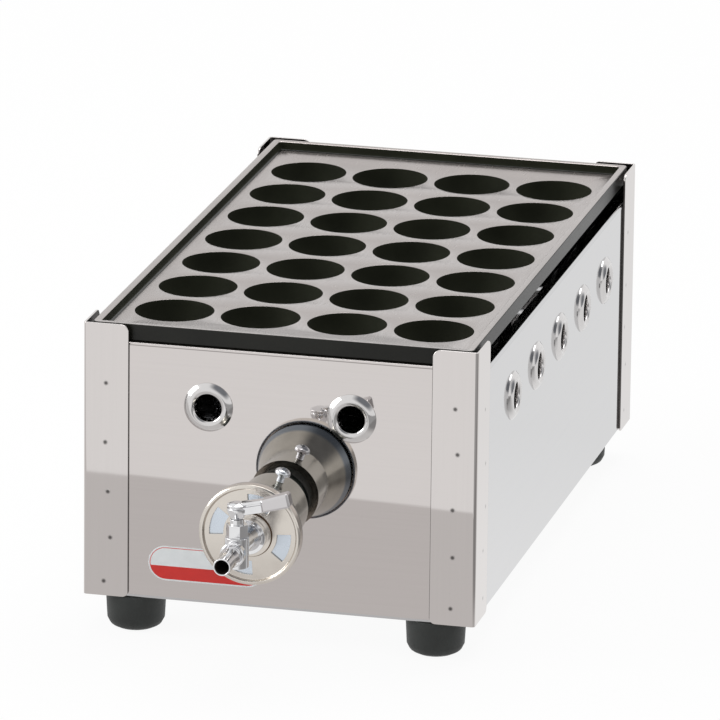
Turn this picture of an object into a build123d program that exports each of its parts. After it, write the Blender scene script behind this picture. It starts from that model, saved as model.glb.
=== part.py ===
from build123d import *
import os
from math import asin, cos, pi, radians, sin, tan

os.makedirs("parts", exist_ok=True)

# A gas takoyaki cooker for the counter: a folded stainless housing on rubber feet, a lift-off iron
# griddle with rows of round cups, and a burner fed through a bell mouth, an air damper and a cock.
# Millimetres. +X is to the cook's right, +Y to the back, +Z up. The origin lies on the counter, in
# the middle of the whole footprint, from the hose end's tip to the back panel.

# ---------------------------------------------------------------- driving dimensions
# Housing
body_width = 190.0
body_depth = 350.0
body_height = 133.8
foot_height = 18.0
sheet = 1.0
fold_radius = 1.6
post_front_flange = 22.0
post_side_flange = 25.0
post_top_corner = 4.0
post_bottom_corner = 3.0
panel_lift = 1.5
ledge_drop = 8.4
ledge_width = 10.0
side_panel_drop = 14.8
side_hem_width = 6.0

# Sight holes in the front, vent holes in the sides, and the eyelets that line them
sight_hole_spacing = 69.0
sight_hole_drop = 37.0
vent_count = 5
vent_pitch = 51.4
vent_shift = 6.5
vent_drop = 43.1
eyelet_bore = 13.0
eyelet_neck = 14.6
eyelet_flange = 23.6
eyelet_crest = 17.6
eyelet_height = 2.4
eyelet_funnel_depth = 1.3
eyelet_tail = 0.8

# Griddle
griddle_gap = 2.4
griddle_corner = 2.5
griddle_slab = 3.9
rim_height = 4.2
rim_width = 3.3
rim_draft = 12.0
cups_across = 4
cups_deep = 7
cup_pitch_x = 42.0
cup_pitch_y = 43.2
cup_diameter = 37.6
cup_depth = 17.0
cup_wall = 3.2
cup_sides = 24
cup_bands = 3
cup_floor_angle = 20.0
cup_outside_sides = 12
cup_outside_bands = 2

# Feet and base plate
foot_top_diameter = 28.8
foot_bottom_diameter = 27.4
foot_edge_height = 4.5
foot_edge_step = 1.5
foot_inset_x = 22.0
foot_inset_front = 15.0
foot_inset_back = 24.0
foot_recess_diameter = 13.0
foot_recess_depth = 9.0
foot_screw_diameter = 5.0
foot_screw_head_diameter = 10.0
foot_screw_head_height = 3.5
foot_nut_size = 8.0
foot_nut_height = 4.0
thread_stand_out = 2.0
screw_hole_gap = 0.3
base_flange = 12.0
air_slot_count = 5
air_slot_pitch = 46.0
air_slot_length = 70.0
air_slot_width = 8.0

# Burner casting
burner_height = 72.0
mixing_tube_diameter = 27.0
mixing_tube_bore = 21.0
mixing_tube_hole_gap = 0.7
mixing_tube_reach = 34.0
diffuser_start = 40.0
diffuser_end = 66.0
diffuser_width = 50.0
ring_start = 62.0
ring_end = 302.0
ring_width = 96.0
ring_corner = 26.0
bar_width = 18.0
bar_height = 17.0
bar_wall = 3.5
bar_floor = 5.0
bar_chamfer = 2.0
ring_rise = 6.0
flame_slot_count = 15
flame_slot_pitch = 12.0
flame_slot_length = 9.0
flame_slot_width = 1.6

# Burner brackets and their screws
bracket_sheet = 1.5
bracket_width = 16.0
bracket_foot = 14.0
bracket_inset = 40.0
burner_screw_diameter = 5.0
burner_screw_head_diameter = 9.0
burner_screw_head_height = 3.0
burner_screw_bite = 3.6
bracket_screw_diameter = 4.0
bracket_screw_head_diameter = 7.5
bracket_screw_head_height = 2.6

# Bell mouth on the mixing tube, and its set screw
bell_rear = 10.0
bell_collar_end = 29.0
bell_flare_end = 48.0
bell_front = 53.5
bell_collar_diameter = 33.0
bell_lip_diameter = 45.6
bell_wall = 1.8
bell_fit_gap = 0.05
bell_seat_step = 0.6
set_screw_ahead = 18.6
set_screw_lean = 18.0
set_screw_diameter = 4.0
set_screw_head_diameter = 7.4
set_screw_head_height = 2.8
set_screw_stand_out = 3.6

# Fixed air disc and turning damper dish
disc_thickness = 1.0
dish_thickness = 0.8
dish_gap = 0.15
dish_diameter = 48.4
dish_rim_width = 2.4
dish_rim_height = 1.5
dish_rim_round = 0.7
dish_skirt_depth = 3.4
dish_hub_diameter = 20.8
dish_hub_height = 1.2
window_count = 4
window_angle = 42.0
window_turn = 7.0
window_inner_radius = 12.8
window_outer_radius = 19.5
damper_swing = 45.0
running_gap = 0.05

# Gas cock
shank_diameter = 10.0
shank_thread_diameter = 8.0
shank_thread_length = 9.5
cock_flange_diameter = 16.6
cock_flange_thickness = 3.4
cock_root_diameter = 13.0
cock_root_length = 6.0
cock_barrel_diameter = 9.6
valve_ahead = 78.4
valve_housing_diameter = 11.2
valve_housing_bottom = 8.0
valve_housing_top = 6.4
gas_way = 4.0
plug_diameter = 7.0
plug_floor = 2.0
plug_end_gap = 0.2
stem_diameter = 4.4
gland_size = 9.0
gland_height = 6.2
gland_neck_diameter = 6.4
gland_neck_height = 2.4
lever_hub_gap = 0.2
lever_hub_foot_diameter = 5.8
lever_hub_diameter = 9.4
lever_hub_cone_height = 3.6
lever_hub_wall = 1.5
lever_groove_width = 0.9
lever_groove_depth = 0.8
lever_dome_wall = 0.8
lever_dome_height = 1.1
lever_dome_flat_diameter = 4.0
lever_hub_crown = 1.2
lever_tilt = 13.0
lever_arm_rise = 1.8
lever_arm_drop = 4.0
lever_arm_width = 4.4
lever_grip_start = 12.0
lever_grip_end = 25.8
lever_grip_start_rise = 1.9
lever_grip_end_rise = 3.4
lever_grip_start_drop = 4.1
lever_grip_end_drop = 3.4
lever_grip_width = 7.0
lever_grip_chamfer = 0.9
shank_nut_size = 14.0
shank_nut_height = 3.4
jet_diameter = 8.0
jet_length = 7.0
jet_stud_diameter = 5.6
jet_stud_length = 4.0
jet_tip_diameter = 3.6
jet_tip_length = 2.5
jet_hole = 1.2
jet_floor = 1.5

# Hose end
hose_end_start = 84.4
hose_collar_diameter = 11.6
hose_collar_length = 3.6
hose_collar_chamfer = 0.5
hose_groove_length = 3.4
hose_barb_diameter = 9.8
hose_barb_length = 4.6
hose_tube_diameter = 8.2
hose_tube_length = 10.0
hose_bore = 6.0
hose_mouth_bore = 7.0
hose_mouth_depth = 1.6

# ---------------------------------------------------------------- places worked out from them
hose_groove_start = hose_end_start + hose_collar_length
hose_barb_start = hose_groove_start + hose_groove_length
hose_tube_start = hose_barb_start + hose_barb_length
hose_end_tip = hose_tube_start + hose_tube_length
cock_reach = hose_end_tip - sheet
front_y = (cock_reach - body_depth) / 2
back_y = front_y + body_depth
centre_y = front_y + body_depth / 2
body_top = foot_height + body_height
half_width = body_width / 2
inner_half_width = half_width - sheet
panel_half_width = half_width - fold_radius
panel_y = front_y + sheet
back_panel_y = back_y - sheet
panel_bottom = foot_height + panel_lift
ledge_z = body_top - ledge_drop
side_panel_top = body_top - side_panel_drop
floor_z = ledge_z + griddle_slab
sight_z = body_top - sight_hole_drop
vent_z = body_top - vent_drop
vent_y = centre_y + vent_shift
base_top = foot_height + sheet
through = 2 * sheet

# The burner section is a half plane through the burner's axis: its first coordinate is the distance
# ahead of the front panel, its second the height above the axis.
burner_origin = (0, panel_y, burner_height)
burner_section = Plane(origin=burner_origin, x_dir=(0, -1, 0), z_dir=(-1, 0, 0))
burner_axis = Axis(burner_origin, (0, -1, 0))


def burner_face(ahead):
    """The plane across the burner's axis at a distance ahead of the front panel, facing forward."""
    return Plane(origin=(0, panel_y - ahead, burner_height), x_dir=(1, 0, 0), z_dir=(0, -1, 0))


def finish(builder, node):
    """Names a finished piece and writes it."""
    builder.part.label = node
    export_step(builder.part, f"parts/{node}.step")


def folded_strip(plane, *corners):
    """The section of a folded sheet, from its outside corners in order, with the sheet on their left."""
    with BuildSketch(plane) as strip:
        with BuildLine():
            FilletPolyline(*corners, radius=fold_radius)
            offset(amount=sheet, side=Side.LEFT)
        make_face()
    return strip.sketch


def section(plane, *corners):
    """A closed outline of straight edges on a plane, for a revolve or an extrusion."""
    with BuildSketch(plane) as outline:
        with BuildLine():
            Polyline(*corners, close=True)
        make_face()
    return outline.sketch


def bowl_corners(radius, depth, sides, bands, floor_angle, lift):
    """Corners of a faceted bowl cut from a ball: its rings, and its mouth carried up by lift."""
    ball = (radius**2 + depth**2) / (2 * depth)
    floor = radians(floor_angle)
    mouth = asin(radius / ball)
    rings = [floor + (mouth - floor) * band / bands for band in range(bands + 1)]
    levels = [(ball * sin(ring), ball * (1 - cos(ring)) - depth) for ring in rings]
    levels.append((radius, lift))
    turns = [2 * pi * (side + 1 / 2) / sides for side in range(sides)]
    return [(r * cos(turn), r * sin(turn), z) for r, z in levels for turn in turns]


# ---------------------------------------------------------------- housing
with BuildPart() as post_front_right:
    extrude(
        folded_strip(
            Plane.XY.offset(foot_height),
            (half_width - post_front_flange, front_y),
            (half_width, front_y),
            (half_width, front_y + post_side_flange),
        ),
        amount=body_height,
    )
    front_flange_ends = post_front_right.edges().filter_by(Axis.Y).group_by(Axis.X)[0].sort_by(Axis.Z)
    side_flange_ends = post_front_right.edges().filter_by(Axis.X).group_by(Axis.Y)[-1].sort_by(Axis.Z)
    fillet([front_flange_ends[-1], side_flange_ends[-1]], radius=post_top_corner)
    fillet([front_flange_ends[0], side_flange_ends[0]], radius=post_bottom_corner)
finish(post_front_right, "post_front_right")

with BuildPart() as post_front_left:
    mirror(post_front_right.part, about=Plane.YZ)
finish(post_front_left, "post_front_left")

centre_plane = Plane.XZ.offset(-centre_y)
for front_post, node in ((post_front_right, "post_back_right"), (post_front_left, "post_back_left")):
    with BuildPart() as back_post:
        mirror(front_post.part, about=centre_plane)
    finish(back_post, node)

sight_holes = [(side * sight_hole_spacing / 2, sight_z) for side in (-1, 1)]
front_face = Plane(origin=(0, panel_y, 0), x_dir=(1, 0, 0), z_dir=(0, -1, 0))

with BuildPart() as front_panel:
    extrude(
        folded_strip(
            Plane.YZ,
            (panel_y + ledge_width, ledge_z),
            (panel_y, ledge_z),
            (panel_y, panel_bottom),
        ),
        amount=panel_half_width,
        both=True,
    )
    with BuildSketch(front_face):
        with Locations(*sight_holes):
            Circle(eyelet_neck / 2)
        with Locations((0, burner_height)):
            Circle(mixing_tube_diameter / 2 + mixing_tube_hole_gap)
    extrude(amount=through, both=True, mode=Mode.SUBTRACT)
finish(front_panel, "front_panel")

with BuildPart() as back_panel:
    extrude(
        folded_strip(
            Plane.YZ,
            (back_panel_y, panel_bottom),
            (back_panel_y, ledge_z),
            (back_panel_y - ledge_width, ledge_z),
        ),
        amount=panel_half_width,
        both=True,
    )
finish(back_panel, "back_panel")

vent_holes = [
    (vent_y + (k - (vent_count - 1) / 2) * vent_pitch, vent_z) for k in range(vent_count)
]
right_face = Plane(origin=(inner_half_width, 0, 0), x_dir=(0, 1, 0), z_dir=(1, 0, 0))

with BuildPart() as right_side_panel:
    extrude(
        folded_strip(
            Plane.XZ.offset(-(panel_y + sheet)),
            (inner_half_width, panel_bottom),
            (inner_half_width, side_panel_top),
            (inner_half_width - side_hem_width, side_panel_top),
        ),
        amount=-(body_depth - 4 * sheet),
    )
    with BuildSketch(right_face):
        with Locations(*vent_holes):
            Circle(eyelet_neck / 2)
    extrude(amount=through, both=True, mode=Mode.SUBTRACT)
finish(right_side_panel, "right_side_panel")

with BuildPart() as left_side_panel:
    mirror(right_side_panel.part, about=Plane.YZ)
finish(left_side_panel, "left_side_panel")


with BuildPart() as one_eyelet:
    revolve(
        section(
            Plane.XZ,
            (eyelet_bore / 2, -sheet - eyelet_tail),
            (eyelet_neck / 2, -sheet - eyelet_tail),
            (eyelet_neck / 2, 0),
            (eyelet_flange / 2, 0),
            (eyelet_flange / 2, eyelet_height / 3),
            (eyelet_crest / 2, eyelet_height),
            (eyelet_bore / 2, eyelet_height - eyelet_funnel_depth),
        ),
        axis=Axis.Z,
    )

with BuildPart() as front_eyelets:
    with Locations(front_face):
        with Locations(*sight_holes):
            add(one_eyelet.part)
finish(front_eyelets, "front_eyelets")

with BuildPart() as right_vent_eyelets:
    with Locations(right_face):
        with Locations(*vent_holes):
            add(one_eyelet.part)
finish(right_vent_eyelets, "right_vent_eyelets")

with BuildPart() as left_vent_eyelets:
    mirror(right_vent_eyelets.part, about=Plane.YZ)
finish(left_vent_eyelets, "left_vent_eyelets")

# ---------------------------------------------------------------- griddle
griddle_width = 2 * (inner_half_width - griddle_gap)
griddle_depth = body_depth - 2 * (sheet + griddle_gap)
pocket_inset = rim_width + rim_height * tan(radians(rim_draft))
cup_places = GridLocations(cup_pitch_x, cup_pitch_y, cups_across, cups_deep).locations
griddle_centre = Location((0, centre_y, floor_z))
outside_radius = cup_diameter / 2 + cup_wall - cup_wall / 4
outside_depth = cup_depth + cup_wall

with BuildPart() as griddle_plate:
    with BuildSketch(Plane.XY.offset(ledge_z)):
        with Locations((0, centre_y)):
            RectangleRounded(griddle_width, griddle_depth, griddle_corner)
    extrude(amount=griddle_slab + rim_height)
    with BuildSketch(Plane.XY.offset(floor_z)):
        with Locations((0, centre_y)):
            RectangleRounded(
                griddle_width - 2 * pocket_inset, griddle_depth - 2 * pocket_inset, griddle_corner
            )
    extrude(amount=rim_height, taper=-rim_draft, mode=Mode.SUBTRACT)
    with Locations(*[griddle_centre * place for place in cup_places]):
        ConvexPolyhedron(
            bowl_corners(
                outside_radius, outside_depth, cup_outside_sides, cup_outside_bands, cup_floor_angle, 0
            )
        )
    with Locations(*[griddle_centre * place for place in cup_places]):
        ConvexPolyhedron(
            bowl_corners(
                cup_diameter / 2, cup_depth, cup_sides, cup_bands, cup_floor_angle, rim_height
            ),
            mode=Mode.SUBTRACT,
        )
finish(griddle_plate, "griddle_plate")

# ---------------------------------------------------------------- base plate and feet
foot_places = [
    (side * (half_width - foot_inset_x), y)
    for side in (-1, 1)
    for y in (front_y + foot_inset_front, back_y - foot_inset_back)
]
bracket_places = [panel_y + ring_start + bracket_inset, panel_y + ring_end - bracket_inset]
bracket_leg_x = ring_width / 2
bracket_screw_places = [
    (side * (bracket_leg_x + bracket_foot / 2), y) for side in (-1, 1) for y in bracket_places
]
ring_bottom = burner_height + ring_rise - bar_height / 2
ring_top = ring_bottom + bar_height
bar_x = (ring_width - bar_width) / 2
burner_screw_places = [(side * bar_x, y) for side in (-1, 1) for y in bracket_places]

with BuildPart() as base_plate:
    with BuildSketch(Plane.XY.offset(foot_height)):
        with Locations((0, centre_y)):
            Rectangle(2 * (inner_half_width - sheet), body_depth - 4 * sheet)
    extrude(amount=base_flange)
    offset(amount=-sheet, openings=base_plate.faces().sort_by(Axis.Z)[-1])
    with BuildSketch(Plane.XY.offset(foot_height)):
        with Locations(*foot_places):
            Circle(foot_screw_diameter / 2 + screw_hole_gap)
        with Locations(*bracket_screw_places):
            Circle(bracket_screw_diameter / 2)
        with Locations((0, centre_y)):
            with GridLocations(0, air_slot_pitch, 1, air_slot_count):
                SlotOverall(air_slot_length, air_slot_width)
    extrude(amount=through, both=True, mode=Mode.SUBTRACT)
finish(base_plate, "base_plate")

with BuildPart() as one_foot:
    revolve(
        section(
            Plane.XZ,
            (foot_recess_diameter / 2, 0),
            (foot_bottom_diameter / 2 - foot_edge_height, 0),
            (foot_bottom_diameter / 2 - foot_edge_step, foot_edge_step),
            (foot_bottom_diameter / 2, foot_edge_height),
            (foot_top_diameter / 2, foot_height),
            (foot_screw_diameter / 2 + screw_hole_gap, foot_height),
            (foot_screw_diameter / 2 + screw_hole_gap, foot_recess_depth),
            (foot_recess_diameter / 2, foot_recess_depth),
        ),
        axis=Axis.Z,
    )

with BuildPart() as rubber_feet:
    with Locations(*foot_places):
        add(one_foot.part)
finish(rubber_feet, "rubber_feet")

foot_screw_tip = base_top + foot_nut_height + thread_stand_out

with BuildPart() as foot_screws:
    with Locations(*[(x, y, foot_recess_depth) for x, y in foot_places]):
        Cylinder(
            foot_screw_diameter / 2,
            foot_screw_tip - foot_recess_depth,
            align=(Align.CENTER, Align.CENTER, Align.MIN),
        )
        Cylinder(
            foot_screw_head_diameter / 2,
            foot_screw_head_height,
            align=(Align.CENTER, Align.CENTER, Align.MAX),
        )
finish(foot_screws, "foot_screws")

with BuildPart() as foot_nuts:
    with BuildSketch(Plane.XY.offset(base_top)):
        with Locations(*foot_places):
            RegularPolygon(foot_nut_size / 2, 6, major_radius=False)
            Circle(foot_screw_diameter / 2, mode=Mode.SUBTRACT)
    extrude(amount=foot_nut_height)
finish(foot_nuts, "foot_nuts")

# ---------------------------------------------------------------- burner
ring_depth = ring_end - ring_start
ring_y = panel_y + (ring_start + ring_end) / 2

with BuildPart() as burner:
    with BuildSketch(Plane.XY.offset(ring_bottom)):
        with Locations((0, ring_y)):
            RectangleRounded(ring_width, ring_depth, ring_corner)
            RectangleRounded(
                ring_width - 2 * bar_width,
                ring_depth - 2 * bar_width,
                ring_corner - bar_width,
                mode=Mode.SUBTRACT,
            )
    extrude(amount=bar_height)
    chamfer(burner.edges().group_by(Axis.Z)[-1], bar_chamfer)
    with BuildSketch(burner_face(-diffuser_start)):
        Circle(mixing_tube_diameter / 2)
    with BuildSketch(burner_face(-diffuser_end)):
        with Locations((0, ring_rise)):
            RectangleRounded(diffuser_width, bar_height - bar_chamfer, bar_wall)
    loft()
    with BuildSketch(burner_face(-diffuser_start)):
        Circle(mixing_tube_diameter / 2)
    extrude(amount=diffuser_start + mixing_tube_reach)
    with BuildSketch(Plane.XY.offset(ring_bottom + bar_floor)):
        with Locations((0, ring_y)):
            RectangleRounded(
                ring_width - 2 * bar_wall, ring_depth - 2 * bar_wall, ring_corner - bar_wall
            )
            RectangleRounded(
                ring_width - 2 * (bar_width - bar_wall),
                ring_depth - 2 * (bar_width - bar_wall),
                ring_corner - bar_width + bar_wall,
                mode=Mode.SUBTRACT,
            )
    extrude(amount=bar_height - bar_floor - bar_wall, mode=Mode.SUBTRACT)
    with BuildSketch(burner_face(-diffuser_start)):
        Circle(mixing_tube_bore / 2)
    with BuildSketch(burner_face(-diffuser_end)):
        with Locations((0, ring_rise + (bar_floor - bar_wall) / 2)):
            Rectangle(diffuser_width - 2 * bar_wall, bar_height - bar_floor - bar_wall)
    loft(mode=Mode.SUBTRACT)
    with BuildSketch(burner_face(-diffuser_start)):
        Circle(mixing_tube_bore / 2)
    extrude(amount=diffuser_start + mixing_tube_reach, mode=Mode.SUBTRACT)
    with BuildSketch(Plane.XY.offset(ring_top - bar_wall)):
        with Locations((-bar_x, ring_y), (bar_x, ring_y)):
            with GridLocations(0, flame_slot_pitch, 1, flame_slot_count):
                Rectangle(flame_slot_length, flame_slot_width)
    extrude(amount=bar_wall, mode=Mode.SUBTRACT)
    with BuildSketch(Plane.XY.offset(ring_bottom)):
        with Locations(*burner_screw_places):
            Circle(burner_screw_diameter / 2)
    extrude(amount=burner_screw_bite, mode=Mode.SUBTRACT)
finish(burner, "burner")

bracket_foot_x = bracket_leg_x + bracket_foot
bracket_top_x = bracket_leg_x - bar_width


def brackets(y):
    """A pair of bent straps that hold the burner's two bars over the base plate."""
    with BuildPart() as straps:
        with BuildSketch(Plane.XZ.offset(-y)):
            with BuildLine():
                Polyline(
                    (bracket_foot_x, base_top),
                    (bracket_leg_x, base_top),
                    (bracket_leg_x, ring_bottom - bracket_sheet),
                    (bracket_top_x, ring_bottom - bracket_sheet),
                    (bracket_top_x, ring_bottom),
                    (bracket_leg_x + bracket_sheet, ring_bottom),
                    (bracket_leg_x + bracket_sheet, base_top + bracket_sheet),
                    (bracket_foot_x, base_top + bracket_sheet),
                    close=True,
                )
            make_face()
        extrude(amount=bracket_width / 2, both=True)
        with BuildSketch(Plane.XY.offset(base_top)):
            with Locations((bracket_foot_x - bracket_foot / 2, y)):
                Circle(bracket_screw_diameter / 2 + screw_hole_gap)
        extrude(amount=bracket_sheet, mode=Mode.SUBTRACT)
        with BuildSketch(Plane.XY.offset(ring_bottom)):
            with Locations((bar_x, y)):
                Circle(burner_screw_diameter / 2 + screw_hole_gap)
        extrude(amount=-bracket_sheet, mode=Mode.SUBTRACT)
        mirror(about=Plane.YZ)
    return straps


finish(brackets(bracket_places[0]), "burner_brackets_front")
finish(brackets(bracket_places[1]), "burner_brackets_rear")

with BuildPart() as burner_screws:
    with Locations(*[(x, y, ring_bottom - bracket_sheet) for x, y in burner_screw_places]):
        Cylinder(
            burner_screw_diameter / 2,
            bracket_sheet + burner_screw_bite,
            align=(Align.CENTER, Align.CENTER, Align.MIN),
        )
        Cylinder(
            burner_screw_head_diameter / 2,
            burner_screw_head_height,
            align=(Align.CENTER, Align.CENTER, Align.MAX),
        )
finish(burner_screws, "burner_screws")

with BuildPart() as bracket_screws:
    with Locations(*[(x, y, base_top + bracket_sheet) for x, y in bracket_screw_places]):
        Cylinder(
            bracket_screw_diameter / 2,
            bracket_sheet + sheet + thread_stand_out,
            align=(Align.CENTER, Align.CENTER, Align.MAX),
        )
        Cylinder(
            bracket_screw_head_diameter / 2,
            bracket_screw_head_height,
            align=(Align.CENTER, Align.CENTER, Align.MIN),
        )
finish(bracket_screws, "bracket_screws")

# ---------------------------------------------------------------- bell mouth and its set screw
tube_radius = mixing_tube_diameter / 2
bell_bore = tube_radius + bell_fit_gap
lip_radius = bell_lip_diameter / 2
disc_radius = lip_radius - bell_wall + bell_seat_step
disc_seat = bell_front - disc_thickness

set_screw_face = Plane(
    origin=(0, panel_y - set_screw_ahead, burner_height),
    x_dir=(0, 1, 0),
    z_dir=(sin(radians(set_screw_lean)), 0, cos(radians(set_screw_lean))),
)

with BuildPart() as bell_mouth:
    revolve(
        section(
            burner_section,
            (bell_rear, bell_bore),
            (bell_rear, bell_collar_diameter / 2),
            (bell_collar_end, bell_collar_diameter / 2),
            (bell_flare_end, lip_radius),
            (bell_front, lip_radius),
            (bell_front, disc_radius),
            (disc_seat, disc_radius),
            (disc_seat, lip_radius - bell_wall),
            (bell_flare_end, lip_radius - bell_wall),
            (mixing_tube_reach, tube_radius - bell_wall),
            (mixing_tube_reach, bell_bore),
        ),
        axis=burner_axis,
    )
    with BuildSketch(set_screw_face):
        Circle(set_screw_diameter / 2)
    extrude(amount=bell_collar_diameter, mode=Mode.SUBTRACT)
finish(bell_mouth, "bell_mouth")

with BuildPart() as set_screw:
    with BuildSketch(set_screw_face.offset(tube_radius)):
        Circle(set_screw_diameter / 2)
    extrude(amount=bell_collar_diameter / 2 + set_screw_stand_out - tube_radius)
    with BuildSketch(set_screw_face.offset(bell_collar_diameter / 2 + set_screw_stand_out)):
        Circle(set_screw_head_diameter / 2)
    extrude(amount=set_screw_head_height)
finish(set_screw, "set_screw")

# ---------------------------------------------------------------- fixed disc and damper dish
shank_radius = shank_diameter / 2
thread_radius = shank_thread_diameter / 2
dish_back = bell_front + dish_gap
dish_face = dish_back + dish_thickness
dish_hub_face = dish_face + dish_hub_height
dish_rim_face = dish_face + dish_rim_height
dish_rear = dish_back - dish_skirt_depth
dish_radius = dish_diameter / 2
rim_inner_radius = dish_radius - dish_rim_width


def air_windows(plane, first_angle):
    """The ring of air windows on a plane across the burner's axis."""
    with BuildSketch() as window:
        with BuildLine():
            outer = CenterArc((0, 0), window_outer_radius, first_angle, window_angle)
            inner = CenterArc((0, 0), window_inner_radius, first_angle, window_angle)
            Line(outer @ 0, inner @ 0)
            Line(outer @ 1, inner @ 1)
        make_face()
    with BuildSketch(plane) as windows:
        with PolarLocations(0, window_count):
            add(window.sketch)
    return windows.sketch


with BuildPart() as fixed_air_disc:
    with BuildSketch(burner_face(disc_seat)):
        Circle(disc_radius)
        Circle(thread_radius, mode=Mode.SUBTRACT)
    extrude(amount=disc_thickness)
    open_windows = air_windows(burner_face(disc_seat), window_turn)
    extrude(open_windows, amount=disc_thickness, mode=Mode.SUBTRACT)
finish(fixed_air_disc, "fixed_air_disc")

with BuildPart() as damper_dish:
    revolve(
        section(
            burner_section,
            (dish_back, shank_radius + running_gap),
            (dish_back, dish_radius - dish_thickness),
            (dish_rear, dish_radius - dish_thickness),
            (dish_rear, dish_radius),
            (dish_rim_face - dish_rim_round, dish_radius),
            (dish_rim_face, dish_radius - dish_rim_round),
            (dish_rim_face, rim_inner_radius + dish_rim_round),
            (dish_face, rim_inner_radius),
            (dish_face, dish_hub_diameter / 2),
            (dish_hub_face, dish_hub_diameter / 2),
            (dish_hub_face, shank_radius + running_gap),
        ),
        axis=burner_axis,
    )
    shut_windows = air_windows(burner_face(dish_back), window_turn - damper_swing)
    extrude(shut_windows, amount=dish_thickness, mode=Mode.SUBTRACT)
finish(damper_dish, "damper_dish")

# ---------------------------------------------------------------- gas cock
flange_back = dish_hub_face + dish_gap
flange_front = flange_back + cock_flange_thickness
shank_end = bell_front - shank_thread_length
jet_seat = shank_end + jet_stud_length
valve_y = panel_y - valve_ahead
plug_radius = plug_diameter / 2
plug_bottom = burner_height - valve_housing_bottom + plug_floor
gland_bottom = burner_height + valve_housing_top
gland_top = gland_bottom + gland_height
neck_top = gland_top + gland_neck_height
hub_bottom = neck_top + lever_hub_gap
hub_cone_top = hub_bottom + lever_hub_cone_height
groove_bottom = hub_cone_top + lever_hub_wall
groove_top = groove_bottom + lever_groove_width
hub_top = groove_top + lever_dome_wall + lever_dome_height
stem_top = hub_top - lever_hub_crown

with BuildPart() as cock_body:
    revolve(
        section(
            burner_section,
            (shank_end, 0),
            (shank_end, thread_radius),
            (bell_front, thread_radius),
            (bell_front, shank_radius),
            (flange_back, shank_radius),
            (flange_back, cock_flange_diameter / 2),
            (flange_front, cock_flange_diameter / 2),
            (flange_front, cock_root_diameter / 2),
            (flange_front + cock_root_length, cock_barrel_diameter / 2),
            (hose_end_start, cock_barrel_diameter / 2),
            (hose_end_start, 0),
        ),
        axis=burner_axis,
    )
    with BuildSketch(Plane.XY.offset(burner_height - valve_housing_bottom)):
        with Locations((0, valve_y)):
            Circle(valve_housing_diameter / 2)
    extrude(amount=valve_housing_bottom + valve_housing_top)
    with BuildSketch(burner_face(shank_end)):
        Circle(gas_way / 2)
    extrude(amount=hose_end_start - shank_end, mode=Mode.SUBTRACT)
    with BuildSketch(burner_face(shank_end)):
        Circle(jet_stud_diameter / 2)
    extrude(amount=jet_stud_length, mode=Mode.SUBTRACT)
    with BuildSketch(Plane.XY.offset(plug_bottom)):
        with Locations((0, valve_y)):
            Circle(plug_radius + running_gap)
    extrude(amount=gland_bottom - plug_bottom, mode=Mode.SUBTRACT)
finish(cock_body, "cock_body")

with BuildPart() as valve_plug:
    with BuildSketch(Plane.XY.offset(plug_bottom + plug_end_gap)):
        with Locations((0, valve_y)):
            Circle(plug_radius)
    extrude(amount=gland_bottom - plug_bottom - 2 * plug_end_gap)
    with BuildSketch(Plane.XY.offset(plug_bottom + plug_end_gap)):
        with Locations((0, valve_y)):
            Circle(stem_diameter / 2)
    extrude(amount=stem_top - plug_bottom - plug_end_gap)
    with BuildSketch(Plane.YZ):
        with Locations((valve_y, burner_height)):
            Circle(gas_way / 2)
    extrude(amount=plug_diameter, both=True, mode=Mode.SUBTRACT)
finish(valve_plug, "valve_plug")

with BuildPart() as gland_nut:
    with BuildSketch(Plane.XY.offset(gland_bottom)):
        with Locations((0, valve_y)):
            RegularPolygon(gland_size / 2, 6, major_radius=False)
    extrude(amount=gland_height)
    with BuildSketch(Plane.XY.offset(gland_top)):
        with Locations((0, valve_y)):
            Circle(gland_neck_diameter / 2)
    extrude(amount=gland_neck_height)
    with BuildSketch(Plane.XY.offset(gland_bottom)):
        with Locations((0, valve_y)):
            Circle(stem_diameter / 2 + running_gap)
    extrude(amount=gland_height + gland_neck_height, mode=Mode.SUBTRACT)
finish(gland_nut, "gland_nut")

tilt = radians(lever_tilt)
lever_plane = Plane(
    origin=(0, valve_y, (groove_bottom + groove_top) / 2),
    x_dir=(cos(tilt), 0, sin(tilt)),
    z_dir=(0, -1, 0),
)
valve_section = Plane(origin=(0, valve_y, 0), x_dir=(1, 0, 0), z_dir=(0, -1, 0))
valve_axis = Axis((0, valve_y, 0), (0, 0, 1))
hub_radius = lever_hub_diameter / 2
arm_end = lever_grip_start + lever_grip_chamfer

with BuildPart() as grip:
    extrude(
        section(
            lever_plane,
            (lever_grip_start, -lever_grip_start_drop),
            (lever_grip_end, -lever_grip_end_drop),
            (lever_grip_end, lever_grip_end_rise),
            (lever_grip_start, lever_grip_start_rise),
        ),
        amount=lever_grip_width / 2,
        both=True,
    )
    chamfer(grip.edges(), lever_grip_chamfer)

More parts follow.
